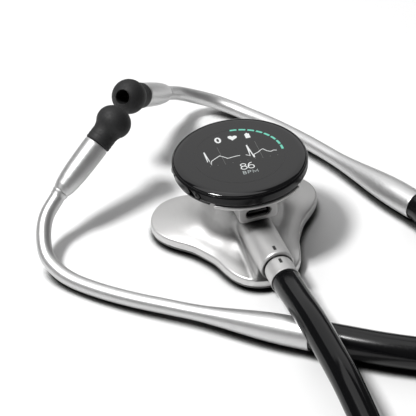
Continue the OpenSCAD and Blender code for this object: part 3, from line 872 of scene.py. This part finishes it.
def arc_points(centre, r, a0, a1, steps=16):
    return [(centre[0] + r * math.cos(math.radians(a0 + (a1 - a0) * k / steps)),
             centre[1] + r * math.sin(math.radians(a0 + (a1 - a0) * k / steps)))
            for k in range(steps + 1)]


def moved(points, at, scale=1.0, turn=0.0):
    c, s = math.cos(math.radians(turn)), math.sin(math.radians(turn))
    return [(at[0] + scale * (c * x - s * y), at[1] + scale * (s * x + c * y)) for x, y in points]


def oval(rx, ry, steps=32):
    return [(rx * math.cos(2 * math.pi * k / steps), ry * math.sin(2 * math.pi * k / steps))
            for k in range(steps)]


PULSE = [(-11.7, 0.2), (-11.2, 6.3), (-10.9, -1.8), (-10.3, 0.3), (-8.0, 1.6), (-6.6, 2.3),
         (-5.6, 1.3), (-4.4, -0.2), (-3.2, -0.1), (-1.6, 0.0), (0.2, -0.1)]
PULSE_NEXT = [(2.2, -0.5), (3.5, -1.6), (4.3, 5.0), (4.6, -3.1), (5.0, -1.3), (6.8, -0.6),
              (8.4, 0.5), (9.0, 0.6), (10.0, -1.1), (11.1, -1.9), (12.3, -1.5), (13.3, -2.0)]


def group(name, pieces):
    """Joins several flat pieces into one."""
    bpy.ops.object.select_all(action="DESELECT")
    for p in pieces:
        p.select_set(True)
    bpy.context.view_layer.objects.active = pieces[0]
    bpy.ops.object.join()
    pieces[0].name = name
    attach(pieces[0], "chestpiece", "display")


def make_meter():
    dashes = []
    for k in range(8):
        mid = METER_FIRST - METER_STEP * k
        line = arc_points((0, 0), METER_R, mid + METER_HALF, mid - METER_HALF, 6)
        dashes.append(ribbon("dash", line, 0.85, GLOW_TEAL))
    group("meter_dashes", dashes)


def make_traces():
    lines = [ribbon("line", PULSE, 0.28, GLOW_WHITE), ribbon("line", PULSE_NEXT, 0.28, GLOW_WHITE)]
    lines += [ribbon("line", [(-11.6, 1.2), (-11.2, 5.6), (-10.95, 0.5)], 0.3, GLOW_WHITE),
              ribbon("line", [(3.9, 0.6), (4.3, 4.4), (4.55, -1.6)], 0.3, GLOW_WHITE)]
    group("pulse_traces", lines)
    marks = [ribbon("line", [(-5.9, 7.4), (-6.2, -3.3)], 0.14, GLOW_DIM),
             ribbon("line", [(7.8, 6.2), (7.3, -4.5)], 0.14, GLOW_DIM)]
    for k in range(10):
        at = (-11.6 + 2.7 * k, -2.6 - 0.24 * k)
        marks.append(patch("dot", moved(oval(0.17, 0.17, 12), at), GLOW_DIM))
    edge = arc_points((0, 0), 16.15, 0, 354, 90)
    marks.append(ribbon("line", edge, 0.1, GLOW_FAINT, loop=True))
    group("screen_marks", marks)


def make_icons():
    ring = ribbon("ring", moved(oval(0.82, 1.4), (-4.3, 11.5), 1, -4), 0.7, GLOW_WHITE, loop=True)
    heart = []
    for k in range(48):
        t = 2 * math.pi * k / 48
        heart.append((16 * math.sin(t) ** 3, 13 * math.cos(t) - 5 * math.cos(2 * t)
                      - 2 * math.cos(3 * t) - math.cos(4 * t)))
    cell = [(-0.75, -1.3), (0.75, -1.3), (0.75, 1.0), (0.3, 1.0), (0.3, 1.4), (-0.3, 1.4),
            (-0.3, 1.0), (-0.75, 1.0)]
    pieces = [ring, patch("heart", moved(heart[::-1], (1.05, 11.1), 0.105, -16), GLOW_WHITE),
              patch("cell", moved(cell, (6.5, 10.4), 1.15, -4), GLOW_WHITE)]
    group("status_icons", pieces)


def digit_line(points, at, loop=True):
    """One stroke of a digit, drawn about its own point beside the middle of the reading."""
    return ribbon("d", moved(moved(points, at), READING_AT, 0.93, READING_TILT), 0.34, GLOW_WHITE,
                  loop)


def make_reading():
    eight = [digit_line(oval(0.98, 0.82), (-1.4, 0.92)), digit_line(oval(1.12, 0.98), (-1.4, -0.9))]
    hook = [(0.38, -0.9), (0.4, 0.0), (0.75, 0.95), (1.3, 1.55), (2.1, 1.72)]
    six = [digit_line(oval(1.12, 1.05), (1.4, -0.82)), digit_line(hook, (0, 0), False)]
    group("rate_digits", eight + six)
    letters = {
        "B": [[(0, 0), (0, 1.4), (0.6, 1.4), (0.85, 1.15), (0.6, 0.75), (0, 0.75)],
              [(0.6, 0.75), (0.95, 0.4), (0.65, 0), (0, 0)]],
        "P": [[(1.5, 0), (1.5, 1.4), (2.15, 1.4), (2.45, 1.05), (2.15, 0.65), (1.5, 0.65)]],
        "M": [[(3.0, 0), (3.0, 1.4), (3.75, 0.3), (4.5, 1.4), (4.5, 0)]],
    }
    strokes = []
    for lines in letters.values():
        for line in lines:
            flat = moved(line, UNIT_AT, 1.15, READING_TILT)
            strokes.append(ribbon("s", flat, 0.2, GLOW_SOFT))
    group("rate_unit", strokes)


make_meter()
make_traces()
make_icons()
make_reading()


# ---------------------------------------------------------------- tube connection
SLEEVE_START = 38.9
SLEEVE_END = 46.5
MARK_L = 2.3
MARK_DEPTH = 0.3
MARK_PROUD = 0.012
OUT = along((0, 0, OUTLET_Z), (0, -1, 0))


def make_sleeve():
    section = [(SLEEVE_START, 3.3), (SLEEVE_START, 4.95, 0.25), (SLEEVE_START + 0.9, 5.12, 0.3),
               (SLEEVE_END - 1.6, 5.16, 1.0), (SLEEVE_END, 5.34, 0.12), (SLEEVE_END, 4.98),
               (SLEEVE_END - 3.0, 4.98), (SLEEVE_END - 3.0, 3.3)]
    piece = swept("tube_sleeve_skin", OUT, rounded(section, 4, True), M["satin_metal"], 128, True)
    attach(piece, "headset", "satin_metal", "tube_sleeve")


def mark_patch(name, y, r, body, node):
    """A small dark inlay on the top of a round piece."""
    low, high = [], []
    for k in range(9):
        x = -0.5 + k / 8
        z = OUTLET_Z + math.sqrt(r * r - x * x)
        low.append((x, z - MARK_DEPTH))
        high.append((x, z + MARK_PROUD))
    section = low + high[::-1]
    rings = [[np.array((x, -y - e, z)) for x, z in section] for e in (0, MARK_L)]
    verts, faces = loft(rings)
    attach(mesh_piece(name, verts, faces, M["mark_ink"], 20), body, "grey_trim", node)


make_sleeve()
mark_patch("barrel_inlay", 34.2, BARREL_R, "chestpiece", "barrel_mark")
mark_patch("sleeve_inlay", 40.3, 5.14, "headset", "sleeve_mark")


# ---------------------------------------------------------------- headset
HEADSET_ORIGIN = np.array((104.0, -128.0, 0.0))
HEADSET_TURN = 129
ARM_Z = 6.0
BRANCH_R = 5.7
LEFT_FLARE = np.array((112, 40.8, 5.4))
LEFT_AXIS = unit((29, 5.8, -0.8))
RIGHT_FLARE = np.array((115, -39.3, 5.4))
RIGHT_SPLAY = -5.9
RIGHT_ROLL = -2
EAR_TUBE_R = 2.75
FLARE_R = 5.3
FLARE_START = 8
FLARE_L = 38
EAR_ROUTE = [LEFT_FLARE, LEFT_FLARE + 6 * LEFT_AXIS, LEFT_FLARE + 14 * LEFT_AXIS,
             (136, 45.6, 4.7), (149, 48.2, 4.3), (163, 51, 3.9), (177, 53.4, 3.3), (190, 54.8, 2.9),
             (201, 55, 2.85), (209, 54, 3.9), (215.8, 51.3, 6), (220.8, 46, 9.6), (223.3, 40, 13.7),
             (222.8, 32.6, 18.5)]
TIP_JOINT = np.array((218.2, 13.7, 30.5))
BALL_Z = 10.4
BALL_R = 6.6
BALL_H = 5.95
# the moulded Y: its stem, its two arms and the slope of the arms in degrees
STEM_R = 5.9
YOKE_ARM_R = 5.62
YOKE_ARM_L = 13.5
YOKE_ARM_OUT = 1.1
YOKE_ARM_DIR = 20
# the first points of a branch tube's route, before, at and past x = 0 along the yoke's arm
ARM = [(-5, 2.56, 6), (0, 4.38, 6), (4.7, 6.09, 6)]
LEFT_BRANCH = [(7, 6.8, 6), (15, 9.6, 6), (27, 13.8, 6), (43, 19.4, 6), (60, 25.6, 6),
               (77, 32, 6), (89, 35.8, 6), (100, 38.4, 5.8)]
RIGHT_BRANCH = [(7, -6.8, 6), (15, -9.6, 6), (27, -13.8, 6), (43, -18.8, 6), (60, -23.8, 6),
                (77, -28.4, 6), (90, -31.6, 6), (102, -35.2, 5.8)]


def turn_about(axis, angle):
    return np.array(Matrix.Rotation(math.radians(angle), 3, Vector(axis)))


FRAME = turn_about((0, 0, 1), HEADSET_TURN)


def headset(p):
    return HEADSET_ORIGIN + FRAME @ np.asarray(p, float)


def left_side(p):
    return headset(p)


def right_side(p):
    roll_axis = (LEFT_AXIS[0], -LEFT_AXIS[1], 0)
    turn = turn_about((0, 0, 1), RIGHT_SPLAY) @ turn_about(roll_axis, RIGHT_ROLL)
    return headset(RIGHT_FLARE + turn @ (np.diag((1, -1, 1)) @ (np.asarray(p, float) - LEFT_FLARE)))


def smooth(t):
    c = min(1.0, max(0.0, t))
    return c * c * (3 - 2 * c)


def ear_radius(s):
    return EAR_TUBE_R + (FLARE_R - EAR_TUBE_R) * (1 - smooth((s - FLARE_START) / FLARE_L))


def make_ear_tube(side, place):
    path = Path([place(p) for p in EAR_ROUTE])
    steps = 160
    outer = [(path.length * k / steps, ear_radius(path.length * k / steps)) for k in range(1, steps)]
    mouth = [(3.5, 4.3), (3.3, FLARE_R - 0.42), (0.22, FLARE_R - 0.42), (0.05, FLARE_R - 0.36),
             (0, FLARE_R - 0.24), (0.06, FLARE_R - 0.08), (0.24, FLARE_R)]
    stations = mouth + [q for q in outer if q[0] > 0.5] + [(path.length, EAR_TUBE_R)]
    end = [(path.length, 1.9), (path.length - 2, 1.9)]
    piece = swept(side + "_ear_tube_skin", path, stations + end, M["ear_tube_metal"], 72)
    attach(piece, side + "_ear", "ear_tube_metal", side + "_ear_tube")


def tip_path(place):
    start = place(EAR_ROUTE[-1])
    end = place(TIP_JOINT)
    return along(start, end - start), float(np.linalg.norm(end - start))


def make_ferrule(side, place):
    path, length = tip_path(place)
    section = [(-0.9, 2.2), (-0.9, 2.8, 0.1), (0.0, 2.9, 0.2), (0.9, 3.15, 0.2), (1.3, 3.02, 0.15),
               (1.8, 3.25, 0.3), (3.5, 3.75, 1.2), (6.5, 4.2, 2), (10, 4.5, 3), (15, 4.7, 3),
               (length - 0.6, 4.8, 0.3), (length, 4.65, 0.1), (length, 1.9), (length - 2, 1.9)]
    piece = swept(side + "_ferrule_skin", path, rounded(section, 6), M["ear_tube_metal"], 96)
    attach(piece, side + "_ear", "ear_tube_metal", side + "_ferrule")


def make_ear_tip(side, place):
    path, length = tip_path(place)
    section = [(0.3, 2.3), (0.3, 4.75, 0.2), (0.9, 4.93, 0.3), (1.35, 4.83, 0.12), (1.8, 4.9, 0.3),
               (2.3, 4.9, 0.3), (2.75, 4.8, 0.12), (3.2, 4.89, 0.3), (5.0, 4.84, 1.0),
               (6.0, 5.05, 0.6)]
    ball = []
    for k in range(21):
        a = math.radians(-35 + (62 + 35) * k / 20)
        ball.append((BALL_Z + BALL_H * math.sin(a), BALL_R * math.cos(a)))
    hole = [(15.78, 2.92), (15.66, 2.76), (15.3, 2.7), (12.0, 2.6), (8.5, 2.4)]
    stations = [(s + length, r) for s, r in rounded(section, 5) + ball + hole]
    piece = swept(side + "_ear_tip_skin", path, stations, M["silicone"], 96, True, 50)
    attach(piece, side + "_tip", "silicone", side + "_ear_tip")


def make_branch(side, sign, route, flare, axis):
    arm = [(x, sign * y, z) for x, y, z in ARM]
    ends = [flare - 6 * axis, flare + 2.5 * axis]
    path = Path([headset(p) for p in arm + list(route) + ends])
    length = path.length
    stations = [(0, 4.9), (0.3, 5.3)]
    steps = int(length / 1.5)
    full = length - 9.0
    for k in range(1, steps):
        s = length * k / steps
        if s < full:
            stations.append((s, BRANCH_R))
    for k in range(9):
        stations.append((full + 6.2 * k / 8, BRANCH_R - 0.84 * smooth(k / 8)))
    stations += [(length - 0.3, 4.84), (length, 4.6)]
    piece = swept(side + "_branch_skin", path, stations, M["branch_tubing"], 72)
    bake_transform(piece)
    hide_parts(side + "_branch_tube")


def yoke_field(x, y, z):
    """The moulded Y in the headset's own frame: a stem and two arms."""
    stem = capped_field(length2(y, z - ARM_Z) - STEM_R, np.maximum(-14 - x, x + 4), 0.9)
    arms = []
    for s in (-1, 1):
        dx, dy = x + 9, y - s * YOKE_ARM_OUT
        c, n = math.cos(math.radians(YOKE_ARM_DIR)), math.sin(math.radians(YOKE_ARM_DIR)) * s
        u, v = dx * c + dy * n, dy * c - dx * n
        arms.append(capped_field(length2(v, z - ARM_Z) - YOKE_ARM_R,
                                 np.maximum(-u, u - YOKE_ARM_L), 0.5))
    return soft_min(stem, soft_min(arms[0], arms[1], 2.0), 1.0)


def make_yoke():
    piece = field_piece("yoke_skin", yoke_field, (-15.5, -14, -1), (7, 14, 13), 0.35,
                        M["branch_tubing"])
    m = Matrix(FRAME.tolist()).to_4x4()
    m.translation = Vector(HEADSET_ORIGIN * MM)
    piece.data.transform(m)
    attach(piece, "headset", "tubing", "yoke")


def make_headset():
    make_yoke()
    right_axis = unit(np.linalg.inv(FRAME)
                      @ (right_side(LEFT_FLARE + LEFT_AXIS) - right_side(LEFT_FLARE)))
    make_branch("left", 1, LEFT_BRANCH, LEFT_FLARE, LEFT_AXIS)
    make_branch("right", -1, RIGHT_BRANCH, RIGHT_FLARE, right_axis)
    for side, place in (("left", left_side), ("right", right_side)):
        make_ear_tube(side, place)
        make_ferrule(side, place)
        make_ear_tip(side, place)


make_headset()


# ---------------------------------------------------------------- floor and lights
# painted contact shadow on the floor: its reach in mm, the occlusion range it fades over and its colour
CONTACT_REACH = 5.0
CONTACT_FADE = (0.47, 0.76)
CONTACT_SHADE = (0.02, 0.02, 0.02)


def make_floor():
    """A white table with painted contact shadow: its colour darkens where something lies close over it.
    """
    bpy.ops.mesh.primitive_plane_add(size=6, location=(0, 0, -0.0001))
    floor = bpy.context.object
    floor.name = "floor"
    mat = shader("floor", (0.9, 0.9, 0.9), 0.0, 0.6)
    add_tint(mat, 40, (0.895, 0.895, 0.895), (0.905, 0.905, 0.905))
    tree = mat.node_tree
    base = tree.nodes["Principled BSDF"].inputs["Base Color"]
    tint = base.links[0].from_socket
    near = tree.nodes.new("ShaderNodeAmbientOcclusion")
    near.samples = 12
    near.inputs["Distance"].default_value = CONTACT_REACH * MM
    fade = map_node(mat, near.outputs["AO"], *CONTACT_FADE, 0.0, 1.0)
    mix = tree.nodes.new("ShaderNodeMix")
    mix.data_type = "RGBA"
    mix.inputs[6].default_value = (*CONTACT_SHADE, 1)
    tree.links.new(fade, mix.inputs[0])
    tree.links.new(tint, mix.inputs[7])
    tree.links.new(mix.outputs[2], base)
    floor.data.materials.append(mat)


def area_light(name, direction, distance, size, power, target=(0, 0, 0.02)):
    data = bpy.data.lights.new(name, "AREA")
    data.shape = "RECTANGLE"
    data.size, data.size_y = size
    data.energy = power
    light = bpy.data.objects.new(name, data)
    d = Vector(direction).normalized()
    light.location = Vector(target) + d * distance
    light.rotation_euler = d.to_track_quat("Z", "Y").to_euler()
    bpy.context.scene.collection.objects.link(light)


def make_lights():
    area_light("key", (-0.49, -0.02, 1), 1.4, (0.25, 0.25), 19)
    area_light("overhead", (-0.1, 0.3, 1), 1.6, (1.2, 1.0), 5)
    area_light("back_panel", (0.215, 0.764, 0.609), 1.8, (2.4, 1.1), 7.5)
    world = bpy.data.worlds.new("world")
    world.use_nodes = True
    world.node_tree.nodes["Background"].inputs["Color"].default_value = (1, 1, 1, 1)
    world.node_tree.nodes["Background"].inputs["Strength"].default_value = 0.09
    bpy.context.scene.world = world
    view = bpy.context.scene.view_settings
    view.view_transform = "Standard"
    view.look = "None"


make_floor()
make_lights()
